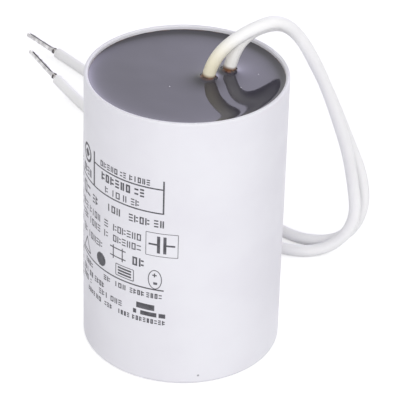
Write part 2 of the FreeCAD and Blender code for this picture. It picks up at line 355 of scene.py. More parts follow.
def new_group(name, kind, inputs, outputs):
    """A node group with named inputs, given as (name, kind of socket, default), and outputs."""
    tree = bpy.data.node_groups.new(name, kind)
    for label, socket, default in inputs:
        made = tree.interface.new_socket(label, in_out="INPUT", socket_type=socket)
        if default is not None:
            made.default_value = default
    for label, socket in outputs:
        tree.interface.new_socket(label, in_out="OUTPUT", socket_type=socket)
    entry = tree.nodes.new("NodeGroupInput")
    leave = tree.nodes.new("NodeGroupOutput")
    return tree, entry.outputs, leave.inputs


def soft_grain_group():
    """Fine grain and broad mottling of moulded and extruded plastic."""
    tree, given, result = new_group(
        "Soft grain",
        "ShaderNodeTree",
        [
            ("Grain Scale", "NodeSocketFloat", 4000.0),
            ("Mottle Scale", "NodeSocketFloat", 90.0),
        ],
        [("Height", "NodeSocketFloat"), ("Mottle", "NodeSocketFloat")],
    )
    place = object_place(tree)
    tree.links.new(cloud(tree, place, given["Grain Scale"], detail=2.0), result["Height"])
    broad = cloud(tree, place, given["Mottle Scale"])
    tree.links.new(spread(tree, broad, 0.3, 0.7, 0.0, 1.0), result["Mottle"])
    return tree


def worked_metal_group():
    """Bright and dull patches and fine scratches of soft metal."""
    tree, given, result = new_group(
        "Worked metal",
        "ShaderNodeTree",
        [
            ("Bright", "NodeSocketColor", (0.6, 0.6, 0.6, 1)),
            ("Dull", "NodeSocketColor", (0.3, 0.3, 0.3, 1)),
            ("Scale", "NodeSocketFloat", 900.0),
        ],
        [
            ("Colour", "NodeSocketColor"),
            ("Roughness", "NodeSocketFloat"),
            ("Height", "NodeSocketFloat"),
        ],
    )
    place = object_place(tree)
    lumps = cloud(tree, place, given["Scale"], detail=4.0, rough=0.6)
    patches = spread(tree, lumps, 0.35, 0.65, 0.0, 1.0)
    fine = cloud(tree, place, maths(tree, "MULTIPLY", given["Scale"], 6.0), detail=2.0)
    tree.links.new(blend_colours(tree, patches, given["Dull"], given["Bright"]), result["Colour"])
    tree.links.new(spread(tree, patches, 0.0, 1.0, 0.42, 0.24), result["Roughness"])
    tree.links.new(fine, result["Height"])
    return tree


def bump(tree, height, strength, depth):
    """A normal from a height, with a depth in metres."""
    made = add_node(
        tree, "ShaderNodeBump", {"Height": height, "Strength": strength, "Distance": depth}
    )
    return made.outputs[0]


def new_material(name, **fixed):
    """A material and its Principled BSDF, with values that are the same all over it."""
    material = bpy.data.materials.new(name)
    material.use_nodes = True
    shader = material.node_tree.nodes["Principled BSDF"]
    for key, value in fixed.items():
        shader.inputs[key.replace("_", " ")].default_value = value
    return material, material.node_tree, shader.inputs


GROUPS = {}


def use_group(tree, make, given):
    """Place a shader group in a material. The group is built once."""
    if make not in GROUPS:
        GROUPS[make] = make()
    return add_node(tree, "ShaderNodeGroup", given, node_tree=GROUPS[make]).outputs


def soft_grain(tree, grain, mottle):
    """Soft grain with so many grains and so many broad lumps to a metre."""
    return use_group(tree, soft_grain_group, {"Grain Scale": grain, "Mottle Scale": mottle})


def worked_metal(tree, bright, dull, scale):
    """Worked metal in two colours, with so many patches to a metre."""
    given = {"Bright": (*bright, 1), "Dull": (*dull, 1), "Scale": scale}
    return use_group(tree, worked_metal_group, given)


# Materials


def cup_plastic(cup):
    """White plastic, satin, with a faint violet tone."""
    material, tree, shader = new_material("cup_plastic", IOR=1.49)
    grain = soft_grain(tree, grain=2600.0, mottle=60.0)
    tone = blend_colours(tree, grain["Mottle"], cup.shade, cup.plastic)
    away = away_from(tree, object_place(tree), DIRT_PLACE)
    dirty = spread(tree, away, cup.dirt_core, cup.dirt_edge, 0.8, 0.0)
    tree.links.new(blend_colours(tree, dirty, tone, cup.dirt), shader["Base Color"])
    tree.links.new(spread(tree, grain["Mottle"], 0.0, 1.0, 0.46, 0.36), shader["Roughness"])
    tree.links.new(bump(tree, grain["Height"], strength=0.25, depth=0.00002), shader["Normal"])
    return material


def potting_resin(resin):
    """Dark glossy resin, brown where it is thin, with a few specks of dust."""
    material, tree, shader = new_material("potting_resin", IOR=1.62)
    thin = add_node(tree, "ShaderNodeAttribute", attribute_name="thin").outputs["Fac"]
    place = object_place(tree)
    uneven = spread(tree, cloud(tree, place, 620.0, detail=2.0), 0.42, 0.60, 0.0, 1.0)
    film = blend_colours(tree, uneven, resin.burnt, resin.amber)
    body = blend_colours(tree, thin, resin.dark, film)
    moved = add_node(tree, "ShaderNodeVectorMath", {0: place, 1: SPECK_SHIFT}).outputs[0]
    cells = add_node(
        tree,
        "ShaderNodeTexVoronoi",
        {"Vector": moved, "Scale": resin.cells},
        voronoi_dimensions="2D",
    ).outputs
    near = maths(tree, "LESS_THAN", cells["Distance"], resin.speck_size)
    chance = add_node(tree, "ShaderNodeSeparateColor", {0: cells["Color"]}).outputs[0]
    chosen = maths(tree, "GREATER_THAN", chance, resin.bare_cells)
    dust = maths(tree, "MULTIPLY", near, chosen)
    tree.links.new(blend_colours(tree, dust, body, resin.speck), shader["Base Color"])
    haze = cloud(tree, place, 140.0)
    tree.links.new(spread(tree, haze, 0.3, 0.7, 0.03, 0.07), shader["Roughness"])
    ripple = cloud(tree, place, 110.0, detail=1.0)
    tree.links.new(bump(tree, ripple, strength=0.35, depth=0.0002), shader["Normal"])
    return material


def insulation(name, leads, root, stain):
    """White insulation, stained from its root on. stain is the stain's strength."""
    material, tree, shader = new_material(name, IOR=1.45)
    grain = soft_grain(tree, grain=3000.0, mottle=130.0)
    away = away_from(tree, object_place(tree), root)
    uneven = maths(tree, "MULTIPLY_ADD", grain["Mottle"], leads.ragged, away)
    cream = spread(tree, uneven, 0.4 * leads.stain, 1.3 * leads.stain, stain, 0.0)
    wet = spread(tree, uneven, leads.wet, leads.dry, 1.0, 0.0)
    tone = blend_colours(tree, cream, leads.white, leads.cream)
    tree.links.new(blend_colours(tree, wet, tone, leads.brown), shader["Base Color"])
    tree.links.new(spread(tree, grain["Mottle"], 0.0, 1.0, 0.42, 0.52), shader["Roughness"])
    tree.links.new(bump(tree, grain["Height"], strength=0.2, depth=0.00002), shader["Normal"])
    return material


def metal(name, bright, dull, scale, depth):
    """Worked metal of sleeves, solder and sprayed contacts. depth is that of its scratches."""
    material, tree, shader = new_material(name, Metallic=1.0)
    tone = worked_metal(tree, bright, dull, scale)
    tree.links.new(tone["Colour"], shader["Base Color"])
    tree.links.new(tone["Roughness"], shader["Roughness"])
    tree.links.new(bump(tree, tone["Height"], strength=0.4, depth=depth), shader["Normal"])
    return material


def strand_metal(name, ends, cut):
    """Tinned strands, with painted shade inside the sleeve. The insulation is cut off at cut."""
    material, tree, shader = new_material(name, Metallic=1.0)
    tone = worked_metal(tree, ends.bare, ends.worn, scale=1500.0)
    away = away_from(tree, object_place(tree), cut)
    # Painted shade: past the bare gap the strands turn near black, for the shade inside the sleeve
    painted_shade = spread(tree, away, 1.4 * ends.bare_gap, 2.4 * ends.bare_gap, 0.0, 1.0)
    tree.links.new(blend_colours(tree, painted_shade, tone["Colour"], ends.dark), shader["Base Color"])
    tree.links.new(tone["Roughness"], shader["Roughness"])
    return material


def printed_ink(marks):
    """Dark ink, a little uneven."""
    material, tree, shader = new_material("printed_ink", IOR=1.45)
    grain = soft_grain(tree, grain=5000.0, mottle=900.0)
    thin = tuple(marks.thin * part for part in marks.ink)
    tree.links.new(blend_colours(tree, grain["Mottle"], marks.ink, thin), shader["Base Color"])
    tree.links.new(spread(tree, grain["Mottle"], 0.0, 1.0, 0.5, 0.65), shader["Roughness"])
    return material


def winding_film():
    """Metallised film in many turns, with rings of light and dark."""
    material, tree, shader = new_material("winding_film", Metallic=0.7, IOR=1.5)
    turns = add_node(
        tree,
        "ShaderNodeTexWave",
        {"Vector": object_place(tree), "Scale": 900.0, "Distortion": 1.5},
        wave_type="RINGS",
        rings_direction="Z",
    ).outputs["Fac"]
    tone = blend_colours(tree, turns, (0.34, 0.34, 0.36), (0.62, 0.62, 0.64))
    tree.links.new(tone, shader["Base Color"])
    tree.links.new(spread(tree, turns, 0.0, 1.0, 0.5, 0.35), shader["Roughness"])
    tree.links.new(bump(tree, turns, strength=0.3, depth=0.00003), shader["Normal"])
    return material


def core_plastic():
    """Grey plastic of the core tube."""
    material, tree, shader = new_material("core_plastic", IOR=1.49)
    grain = soft_grain(tree, grain=3500.0, mottle=120.0)
    tone = blend_colours(tree, grain["Mottle"], (0.42, 0.43, 0.45), (0.50, 0.51, 0.53))
    tree.links.new(tone, shader["Base Color"])
    tree.links.new(spread(tree, grain["Mottle"], 0.0, 1.0, 0.5, 0.6), shader["Roughness"])
    tree.links.new(bump(tree, grain["Height"], strength=0.3, depth=0.00002), shader["Normal"])
    return material


# Meshes


def arc(middle, radius, start, end, steps):
    """Points of an arc in the plane of the half section, with angles in degrees."""
    points = []
    for step in range(steps + 1):
        angle = math.radians(start + (end - start) * step / steps)
        points.append((middle[0] + radius * math.cos(angle), middle[1] + radius * math.sin(angle)))
    return points


def bridged(rows, sides):
    """Faces between each row of points and the next. A row of one point closes the skin."""
    faces = []
    for low, high in zip(rows, rows[1:]):
        for side in range(sides):
            after = (side + 1) % sides
            if len(low) == 1:
                faces.append((low[0], high[after], high[side]))
            elif len(high) == 1:
                faces.append((low[side], low[after], high[0]))
            else:
                faces.append((low[side], low[after], high[after], high[side]))
    return faces


def turned(profile, sides):
    """Points and faces of a half section of (radius, height) turned about Z.

    The section runs anticlockwise, seen with the axis on its left. An end on the axis
    closes in a point; a section with no such end is closed on itself.
    """
    points, rows = [], []
    for radius, height in profile:
        row = []
        for side in range(sides if radius > 0 else 1):
            angle = 2 * math.pi * side / sides
            row.append(len(points))
            points.append((radius * math.cos(angle), radius * math.sin(angle), height))
        rows.append(row)
    if profile[0][0] > 0:
        rows.append(rows[0])
    return points, bridged(rows, sides)


def mesh_of(name, points, faces):
    """A mesh of points and faces."""
    mesh = bpy.data.meshes.new(name)
    mesh.from_pydata(points, [], faces)
    mesh.update()
    return mesh


def joined(name, meshes):
    """One mesh of several."""
    whole = bmesh.new()
    for mesh in meshes:
        whole.from_mesh(mesh)
    result = bpy.data.meshes.new(name)
    whole.to_mesh(result)
    whole.free()
    return result


def piece_of(name, mesh, material, slot, *nodes, crease=40.0):
    """A finished piece that rides on the frame and replaces its nodes.

    Edges sharper than crease, in degrees, are shaded as edges.
    """
    mesh.materials.clear()
    mesh.materials.append(material)
    mesh.polygons.foreach_set("use_smooth", [True] * len(mesh.polygons))
    mesh.polygons.foreach_set("material_index", [0] * len(mesh.polygons))
    mesh.set_sharp_from_angle(angle=math.radians(crease))
    piece = bpy.data.objects.new(name, mesh)
    bpy.context.scene.collection.objects.link(piece)
    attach(piece, BODY)
    if nodes:
        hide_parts(*nodes)
    return piece


def smooth_line(route):
    """Points along the smooth line that a route's points control."""
    curve = bpy.data.curves.new("lead_line", "CURVE")
    curve.dimensions = "3D"
    spline = curve.splines.new("NURBS")
    spline.points.add(len(route) - 1)
    for place, point in zip(spline.points, route):
        place.co = (*point, 1)
    spline.order_u = 3
    spline.use_endpoint_u = True
    spline.resolution_u = 16
    holder = bpy.data.objects.new("lead_line", curve)
    bpy.context.scene.collection.objects.link(holder)
    mesh = bpy.data.meshes.new_from_object(holder)
    line = [corner.co.copy() for corner in mesh.vertices]
    bpy.data.objects.remove(holder)
    bpy.data.curves.remove(curve)
    bpy.data.meshes.remove(mesh)
    return line


def free_run(line, buried):
    """The last part of a lead's line, from a little below the resin's surface on."""
    level = bpy.context.scene.capacitor_resin.level
    start = next(i for i, point in enumerate(line) if point.z > level - buried)
    return line[start:]


def exit_place(line):
    """Where a line passes the resin's surface, and its way there."""
    level = bpy.context.scene.capacitor_resin.level
    after = next(i for i, point in enumerate(line) if point.z > level)
    low, high = line[after - 1], line[after]
    return low.lerp(high, (level - low.z) / (high.z - low.z)), (high - low).normalized()


def tube(line, sections, sides):
    """Points and faces of a closed round tube along a line.

    sections holds a ring each: the number of a point of the line, a step along from it and
    a radius. A radius of zero closes the tube in a point.
    """
    tangents = []
    for i in range(len(line)):
        tangents.append((line[min(i + 1, len(line) - 1)] - line[max(i - 1, 0)]).normalized())
    side = tangents[0].orthogonal().normalized()
    frames = [(side, tangents[0].cross(side))]
    for before, along in zip(tangents, tangents[1:]):
        swing = before.rotation_difference(along)
        side = (swing @ frames[-1][0]).normalized()
        frames.append((side, along.cross(side)))
    points, rows = [], []
    for place, step, radius in sections:
        middle = line[place] + tangents[place] * step
        side, other = frames[place]
        row = []
        for corner in range(sides if radius > 0 else 1):
            angle = 2 * math.pi * corner / sides
            row.append(len(points))
            points.append(middle + radius * (math.cos(angle) * side + math.sin(angle) * other))
        rows.append(row)
    return points, bridged(rows, sides)


# Geometry trees


def strand_layer_group():
    """One layer of strands twisted about Z, evenly spaced."""
    tree, given, result = new_group(
        "Strand layer",
        "GeometryNodeTree",
        [
            ("Strands", "NodeSocketInt", 12),
            ("Layer Radius", "NodeSocketFloat", 0.0004),
            ("Strand Radius", "NodeSocketFloat", 0.0001),
            ("Length", "NodeSocketFloat", 0.015),
            ("Turns", "NodeSocketFloat", 0.7),
            ("Seed", "NodeSocketInt", 3),
        ],
        [("Geometry", "NodeSocketGeometry")],
    )
    coil = add_node(
        tree,
        "GeometryNodeCurveSpiral",
        {
            "Resolution": 48,
            "Rotations": given["Turns"],
            "Start Radius": given["Layer Radius"],
            "End Radius": given["Layer Radius"],
            "Height": given["Length"],
        },
    )
    ring = add_node(
        tree,
        "GeometryNodeCurvePrimitiveCircle",
        {"Resolution": 10, "Radius": given["Strand Radius"]},
    )
    wire = add_node(
        tree,
        "GeometryNodeCurveToMesh",
        {"Curve": coil.outputs[0], "Profile Curve": ring.outputs[0], "Fill Caps": True},
    )
    spots = add_node(tree, "GeometryNodePoints", {"Count": given["Strands"]})
    index = add_node(tree, "GeometryNodeInputIndex").outputs[0]
    step = maths(tree, "DIVIDE", 2 * math.pi, given["Strands"])
    angle = maths(tree, "MULTIPLY", index, step)
    swing = add_node(tree, "ShaderNodeCombineXYZ", {2: angle}).outputs[0]
    # Each strand lies a little further in or out than the next
    loose = add_node(
        tree,
        "FunctionNodeRandomValue",
        {2: 0.96, 3: 1.03, "Seed": given["Seed"]},
        data_type="FLOAT",
    ).outputs[1]
    size = add_node(tree, "ShaderNodeCombineXYZ", {0: loose, 1: loose, 2: 1.0}).outputs[0]
    laid = add_node(
        tree,
        "GeometryNodeInstanceOnPoints",
        {
            "Points": spots.outputs[0],
            "Instance": wire.outputs[0],
            "Rotation": swing,
            "Scale": size,
        },
    )
    tree.links.new(laid.outputs[0], result["Geometry"])
    return tree


def stranded_conductor_tree():
    """A round bundle of strands about Z: a middle strand and two layers round it."""
    tree, given, result = new_group(
        "Stranded conductor",
        "GeometryNodeTree",
        [
            ("Outer Strands", "NodeSocketInt", 12),
            ("Strand Diameter", "NodeSocketFloat", 0.00022),
            ("Length", "NodeSocketFloat", 0.015),
            ("Turns", "NodeSocketFloat", 0.7),
            ("Seed", "NodeSocketInt", 3),
            ("Material", "NodeSocketMaterial", None),
        ],
        [("Geometry", "NodeSocketGeometry")],
    )
    layer = strand_layer_group()
    strand_radius = maths(tree, "MULTIPLY", given["Strand Diameter"], 0.5)
    whole = add_node(tree, "GeometryNodeJoinGeometry")
    half = maths(tree, "MULTIPLY", given["Outer Strands"], 0.5)
    for strands, diameters in ((given["Outer Strands"], 2.0), (half, 1.0), (1, 0.0)):
        values = {
            "Strands": strands,
            "Layer Radius": maths(tree, "MULTIPLY", given["Strand Diameter"], diameters),
            "Strand Radius": strand_radius,
            "Length": given["Length"],
            "Turns": given["Turns"],
            "Seed": given["Seed"],
        }
        made = add_node(tree, "GeometryNodeGroup", values, node_tree=layer)
        tree.links.new(made.outputs[0], whole.inputs[0])
    real = add_node(tree, "GeometryNodeRealizeInstances", {0: whole.outputs[0]})
    painted = add_node(
        tree, "GeometryNodeSetMaterial", {"Geometry": real.outputs[0], "Material": given["Material"]}
    )
    tree.links.new(painted.outputs[0], result["Geometry"])
    return tree


def wall_print_tree():
    """Flat printed bars, one on each point, wrapped on a round wall about Z.

    A point's x is its place along the wall and its z its height. Its attributes hold the
    bar's size and its turn in the wall's own plane.
    """
    tree, given, result = new_group(
        "Print on the wall",
        "GeometryNodeTree",
        [
            ("Geometry", "NodeSocketGeometry", None),
            ("Wall Radius", "NodeSocketFloat", 0.0225),
            ("Raised", "NodeSocketFloat", 0.00002),
            ("Sunk", "NodeSocketFloat", 0.00001),
            ("Material", "NodeSocketMaterial", None),
        ],
        [("Geometry", "NodeSocketGeometry")],
    )
    bar = add_node(
        tree,
        "GeometryNodeMeshCube",
        {"Size": (1, 1, 1), "Vertices X": 4, "Vertices Y": 2, "Vertices Z": 2},
    )
    size = add_node(
        tree, "GeometryNodeInputNamedAttribute", {"Name": "size"}, data_type="FLOAT_VECTOR"
    ).outputs[0]
    angle = add_node(
        tree, "GeometryNodeInputNamedAttribute", {"Name": "turn"}, data_type="FLOAT"
    ).outputs[0]
    swing = add_node(tree, "ShaderNodeCombineXYZ", {1: angle}).outputs[0]
    laid = add_node(
        tree,
        "GeometryNodeInstanceOnPoints",
        {
            "Points": given["Geometry"],
            "Instance": bar.outputs[0],
            "Rotation": swing,
            "Scale": size,
        },
    )
    real = add_node(tree, "GeometryNodeRealizeInstances", {0: laid.outputs[0]})
    place = add_node(tree, "GeometryNodeInputPosition").outputs[0]
    split = add_node(tree, "ShaderNodeSeparateXYZ", {0: place}).outputs
    # The side of a bar towards -Y is the outer one, so that its faces still point outwards
    # when it is wrapped
    outer = maths(tree, "LESS_THAN", split[1], 0.0)
    lift = maths(tree, "ADD", given["Raised"], given["Sunk"])
    height = maths(tree, "MULTIPLY_ADD", outer, lift, given["Wall Radius"])
    radius = maths(tree, "SUBTRACT", height, given["Sunk"])
    round_wall = maths(tree, "DIVIDE", split[0], given["Wall Radius"])
    x = maths(tree, "MULTIPLY", radius, maths(tree, "SINE", round_wall))
    inward = maths(tree, "MULTIPLY", radius, maths(tree, "COSINE", round_wall))
    y = maths(tree, "MULTIPLY", inward, -1.0)
    wrapped = add_node(tree, "ShaderNodeCombineXYZ", {0: x, 1: y, 2: split[2]}).outputs[0]
    moved = add_node(
        tree, "GeometryNodeSetPosition", {"Geometry": real.outputs[0], "Position": wrapped}
    )
    painted = add_node(
        tree, "GeometryNodeSetMaterial", {"Geometry": moved.outputs[0], "Material": given["Material"]}
    )
    tree.links.new(painted.outputs[0], result["Geometry"])
    return tree


def grown(name, tree, values, seedling=None):
    """The plain mesh that a geometry tree makes, with its named inputs set."""
    holder = bpy.data.objects.new(name, seedling or bpy.data.meshes.new(name))
    bpy.context.scene.collection.objects.link(holder)
    modifier = holder.modifiers.new("build", "NODES")
    modifier.node_group = tree
    for item in tree.interface.items_tree:
        if item.item_type == "SOCKET" and item.in_out == "INPUT" and item.name in values:
            modifier[item.identifier] = values[item.name]
    view = bpy.context.evaluated_depsgraph_get()
    made = bpy.data.meshes.new_from_object(holder.evaluated_get(view))
    holder.modifiers.clear()
    bpy.data.objects.remove(holder)
    return made


# Operators


class CAPACITOR_OT_cup(bpy.types.Operator):
    """Make the moulded cup"""

    bl_idname = "capacitor.cup"
    bl_label = "Cup"

    # Steps of a rounded edge, and the width of the strip that keeps the flat beside it flat
    EDGE_STEPS = 8
    GUARD = 0.00007

    def section(self, cup):
        """Half section of the cup, from the middle of the base to the middle of the floor."""
        inner = CUP_RADIUS - cup.wall
        base, rim = cup.base_round, cup.rim_round
        return [
            (0, 0),
            (CUP_RADIUS - base - self.GUARD, 0),
            *arc((CUP_RADIUS - base, base), base, -90, 0, self.EDGE_STEPS),
            (CUP_RADIUS, base + self.GUARD),
            (CUP_RADIUS, CUP_HEIGHT - rim - self.GUARD),
            *arc((CUP_RADIUS - rim, CUP_HEIGHT - rim), rim, 0, 90, self.EDGE_STEPS),
            *arc((inner + rim, CUP_HEIGHT - rim), rim, 90, 180, self.EDGE_STEPS),
            (inner, CUP_HEIGHT - rim - self.GUARD),
            (inner, cup.floor),
            (0, cup.floor),
        ]

    def execute(self, context):
        cup = context.scene.capacitor_cup
        mesh = mesh_of("cup", *turned(self.section(cup), cup.sides))
        piece_of("cup", mesh, cup_plastic(cup), "case_plastic", "case")
        return {"FINISHED"}


class CAPACITOR_OT_resin(bpy.types.Operator):
    """Make the resin, which climbs the wall and the leads a little"""

    bl_idname = "capacitor.resin"
    bl_label = "Resin"

    # How thin the film on the wall is, where the film on a lead is 1
    WALL_THIN = 0.4
    # How much the rings of the mesh crowd towards the wall, where 1 spaces them evenly
    CROWDING = 1.3
    # Wall of the core tube, and sides of the hollow that holds the winding
    CORE_WALL = 0.001
    HOLLOW_SIDES = 96

    def surface(self, resin, roots, x, y):
        """Height of the resin's surface at a place, and how thin the resin is there."""
        leads = bpy.context.scene.capacitor_leads
        cavity = CUP_RADIUS - bpy.context.scene.capacitor_cup.wall
        to_wall = cavity - math.hypot(x, y)
        height = resin.wall_climb * math.exp(-to_wall / resin.wall_reach)
        height += resin.wall_swell * math.exp(-to_wall / resin.wall_swell_reach)
        thin = self.WALL_THIN * math.exp(-((to_wall / resin.wall_film) ** 2))
        for root in roots:
            gap = max(0, math.hypot(x - root.x, y - root.y) - leads.diameter / 2)
            height += resin.lead_climb * math.exp(-gap / resin.lead_reach)
            height += resin.lead_swell * math.exp(-gap / resin.lead_swell_reach)
            thin = max(thin, math.exp(-((gap / resin.film) ** 2)))
        return resin.level + height, thin

    def hollow(self):
        """Inner wall of the resin, round the winding and its contacts."""
        bore = CORE_RADIUS - self.CORE_WALL
        profile = [
            (bore, SPRAY_FOOT),
            (bore, SPRAY_TOP),
            (ROLL_RADIUS, SPRAY_TOP),
            (ROLL_RADIUS, SPRAY_FOOT),
        ]
        return mesh_of("resin_hollow", *turned(profile, self.HOLLOW_SIDES))

    def execute(self, context):
        resin = context.scene.capacitor_resin
        cavity = CUP_RADIUS - context.scene.capacitor_cup.wall
        roots = []
        for route in (LEAD_1_ROUTE, LEAD_2_ROUTE):
            place, along = exit_place(smooth_line(route))
            # The lead's middle half way up the climb round it
            roots.append(place + along * (0.5 * resin.lead_climb / along.z))
        # Share of the radius that each ring leaves up to the wall
        left = [(1 - ring / resin.rings) ** self.CROWDING for ring in range(resin.rings)]
        radii = [cavity * (1 - share) for share in left] + [cavity]
        profile = [(0, RESIN_FOOT), (cavity, RESIN_FOOT)]
        profile += [(radius, resin.level) for radius in reversed(radii)]
        points, faces = turned(profile, resin.sides)
        thinness = [0.0] * len(points)
        # The points of the surface come after those of the foot
        for i in range(1 + resin.sides, len(points)):
            x, y, _ = points[i]
            height, thinness[i] = self.surface(resin, roots, x, y)
            points[i] = (x, y, height)
        outer = mesh_of("resin_outer", points, faces)
        layer = outer.attributes.new("thin", "FLOAT", "POINT")
        layer.data.foreach_set("value", thinness)
        mesh = joined("resin", [outer, self.hollow()])
        piece_of("resin", mesh, potting_resin(resin), "potting_resin", "resin_fill", crease=60)
        return {"FINISHED"}


class CAPACITOR_OT_leads(bpy.types.Operator):
    """Make the two leads: insulation, conductor, strands and crimped sleeves"""

    bl_idname = "capacitor.leads"
    bl_label = "Leads"

    # Rounding of the insulation's cut end, and the depth to which its bore shows
    CUT_ROUND = 0.00012
    BORE_DEPTH = 0.0012
    # Share of the radius by which the insulation is uneven, and lumps of it to a metre
    UNEVEN = 0.01
    LUMPS = 90
    # The conductor's plain run: its sides, its share of the conductor's radius, and how many
    # of the line's last points it leaves out before its end
    RUN_SIDES = 20
    RUN_SHARE = 0.9
    RUN_SHORT = 8
    STRAND_SEED = 3
    # The sleeve's wall, and the rows and sides of its mesh
    WALL = 0.0002
    ROWS = 72
    SIDES = 44
    # Crimps: their places as shares of the sleeve's length, their half width and their depth
    CRIMPS = (0.30, 0.50, 0.70)
    CRIMP_WIDTH = 0.00045
    CRIMP_DEPTH = 0.00007
    # The lips of the seam curl in, within an angle in radians
    CURL = 0.00009
    CURL_REACH = 0.30
    # The mouth is torn open at the seam, within an angle in radians
    TEAR = 0.00022
    TEAR_REACH = 0.5
    # Share by which the sleeve is flattened at the seam
    FLAT = 0.05

    def wobble(self, point, radius):
        """A radius that is a little uneven, as extruded insulation is."""
        return radius * (1 - self.UNEVEN + self.UNEVEN * noise.noise(point * self.LUMPS))

    def insulation_mesh(self, name, line, leads):
        """Insulation along a line, with a cut end that shows its bore."""
        radius, bore = leads.diameter / 2, leads.conductor / 2
        last = len(line) - 1
        half_way = 0.3 * self.CUT_ROUND
        sections = [(0, 0, 0), (0, 0, radius)]
        sections += [(i, 0, self.wobble(line[i], radius)) for i in range(1, last)]
        sections += [
            (last, -self.CUT_ROUND, radius),
            (last, -half_way, radius - half_way),
            (last, 0, radius - self.CUT_ROUND),
            (last, 0, bore + self.CUT_ROUND),
            (last, -self.CUT_ROUND, bore),
            (last, -self.BORE_DEPTH, bore),
            (last, -self.BORE_DEPTH, 0),
        ]
        return mesh_of(name, *tube(line, sections, leads.sides))

    def conductor_mesh(self, name, line, end, leads, ends, material):
        """Conductor: a plain run in the insulation, and strands on the bare end."""
        last = len(line) - 1
        radius = self.RUN_SHARE * leads.conductor / 2
        plain_end = -ends.hidden
        sections = [(0, 0, 0)] + [(i, 0, radius) for i in range(last - self.RUN_SHORT)]
        sections += [(last, plain_end, radius), (last, plain_end, 0)]
        plain = mesh_of(name + "_run", *tube(line, sections, self.RUN_SIDES))
        values = {
            "Outer Strands": ends.strands,
            "Strand Diameter": ends.strand,
            "Length": ends.hidden + ends.bare_gap + ends.length - ends.hollow,
            "Turns": ends.turns,
            "Seed": self.STRAND_SEED,
            "Material": material,
        }
        strands = grown(name + "_strands", self.tree, values)
        strands.transform(end @ Matrix.Translation((0, 0, plain_end)))
        return joined(name, [plain, strands])

    def sleeve_radius(self, ends, height, angle):
        """Outer radius of the sleeve at a height and an angle from its seam."""
        outer = ends.diameter / 2
        from_mouth = max(0, 1 - height / ends.flare)
        from_seam = min(angle, 2 * math.pi - angle)
        crimp = 0
        for share in self.CRIMPS:
            crimp += math.exp(-(((height - share * ends.length) / self.CRIMP_WIDTH) ** 2))
        flare = from_mouth**1.5 * (ends.mouth / 2 - outer)
        curl = self.CURL * math.exp(-(((from_seam - ends.gap) / self.CURL_REACH) ** 2))
        dent = self.CRIMP_DEPTH * crimp * max(0, -math.cos(angle)) ** 2
        tear = self.TEAR * from_mouth * math.exp(-from_seam / self.TEAR_REACH)
        return outer + flare - curl - dent + tear

    def sleeve_mesh(self, name, end, ends):
        """A rolled sleeve with an open seam, a flared mouth and a few crimps.

        Each row runs round the outer skin, from one lip of the seam to the other, and back
        along the inner skin.
        """
        sweep = 2 * math.pi - 2 * ends.gap
        angles = [ends.gap + sweep * side / self.SIDES for side in range(self.SIDES + 1)]
        round_and_back = [(angle, 0) for angle in angles]
        round_and_back += [(angle, self.WALL) for angle in reversed(angles)]
        points, rows = [], []
        for row in range(self.ROWS + 1):
            height = ends.length * row / self.ROWS
            rows.append(list(range(len(points), len(points) + len(round_and_back))))
            for angle, depth in round_and_back:
                radius = self.sleeve_radius(ends, height, angle) - depth
                flat = 1 - self.FLAT * math.cos(angle) ** 2
                x, y = radius * flat * math.cos(angle), radius * math.sin(angle)
                points.append((x, y, height))
        faces = bridged(rows, len(round_and_back))
        mouth, tip = rows[0], rows[-1]
        for side in range(self.SIDES):
            inner, inner_after = -1 - side, -2 - side
            faces.append((mouth[side], mouth[inner], mouth[inner_after], mouth[side + 1]))
            faces.append((tip[side], tip[side + 1], tip[inner_after], tip[inner]))
        mesh = mesh_of(name, points, faces)
        mesh.transform(end @ Matrix.Translation((0, 0, ends.bare_gap)))
        return mesh

    def end_matrix(self, line, seam):
        """Frame at a line's end: Z goes on along it and X points at the sleeve's seam."""
        along = (line[-1] - line[-2]).normalized()
        up = Vector((0, 0, 1))
        across_up = (up - along * up.dot(along)).normalized()
        x = Matrix.Rotation(seam, 3, along) @ across_up
        matrix = Matrix((x, along.cross(x), along)).transposed().to_4x4()
        matrix.translation = line[-1]
        return matrix

    def buried_mesh(self, name, line, leads):
        """Insulation of the part of a lead that is sealed in the resin."""
        radius, last = leads.diameter / 2, len(line) - 1
        sections = [(0, 0, 0)] + [(i, 0, radius) for i in range(last + 1)] + [(last, 0, 0)]
        return mesh_of(name, *tube(line, sections, leads.sides))

    def make_lead(self, context, name, sleeve_node, route, tail, length, stain):
        """Make a lead and what is on its end."""
        leads, ends = context.scene.capacitor_leads, context.scene.capacitor_ends
        line = smooth_line(route)
        free = free_run(line, leads.buried)
        buried = line[: len(line) - len(free) + 1]
        place, _ = exit_place(line)
        end = self.end_matrix(line, ends.seam)
        cover = insulation(f"{name}_cover", leads, place, stain)
        strands = strand_metal(f"{name}_strands", ends, end.translation)
        lead = piece_of(
            name,
            self.insulation_mesh(name, free, leads),
            cover,
            "lead_insulation",
            f"{name}_insulation",
        )
        if len(buried) > 2:
            piece_of(
                f"{name}_in_bore",
                self.buried_mesh(f"{name}_in_bore", buried, leads),
                cover,
                "lead_insulation",
                f"{name}_insulation",
            )
        conductor = piece_of(
            f"{name}_conductor_strands",
            self.conductor_mesh(name, smooth_line(tail + route), end, leads, ends, strands),
            strands,
            "conductor_strands",
            f"{name}_conductor",
        )
        sleeve = piece_of(
            f"{name}_sleeve",
            self.sleeve_mesh(f"{name}_sleeve", end, ends),
            self.sleeve_metal,
            "sleeve_metal",
            sleeve_node,
            crease=50,
        )

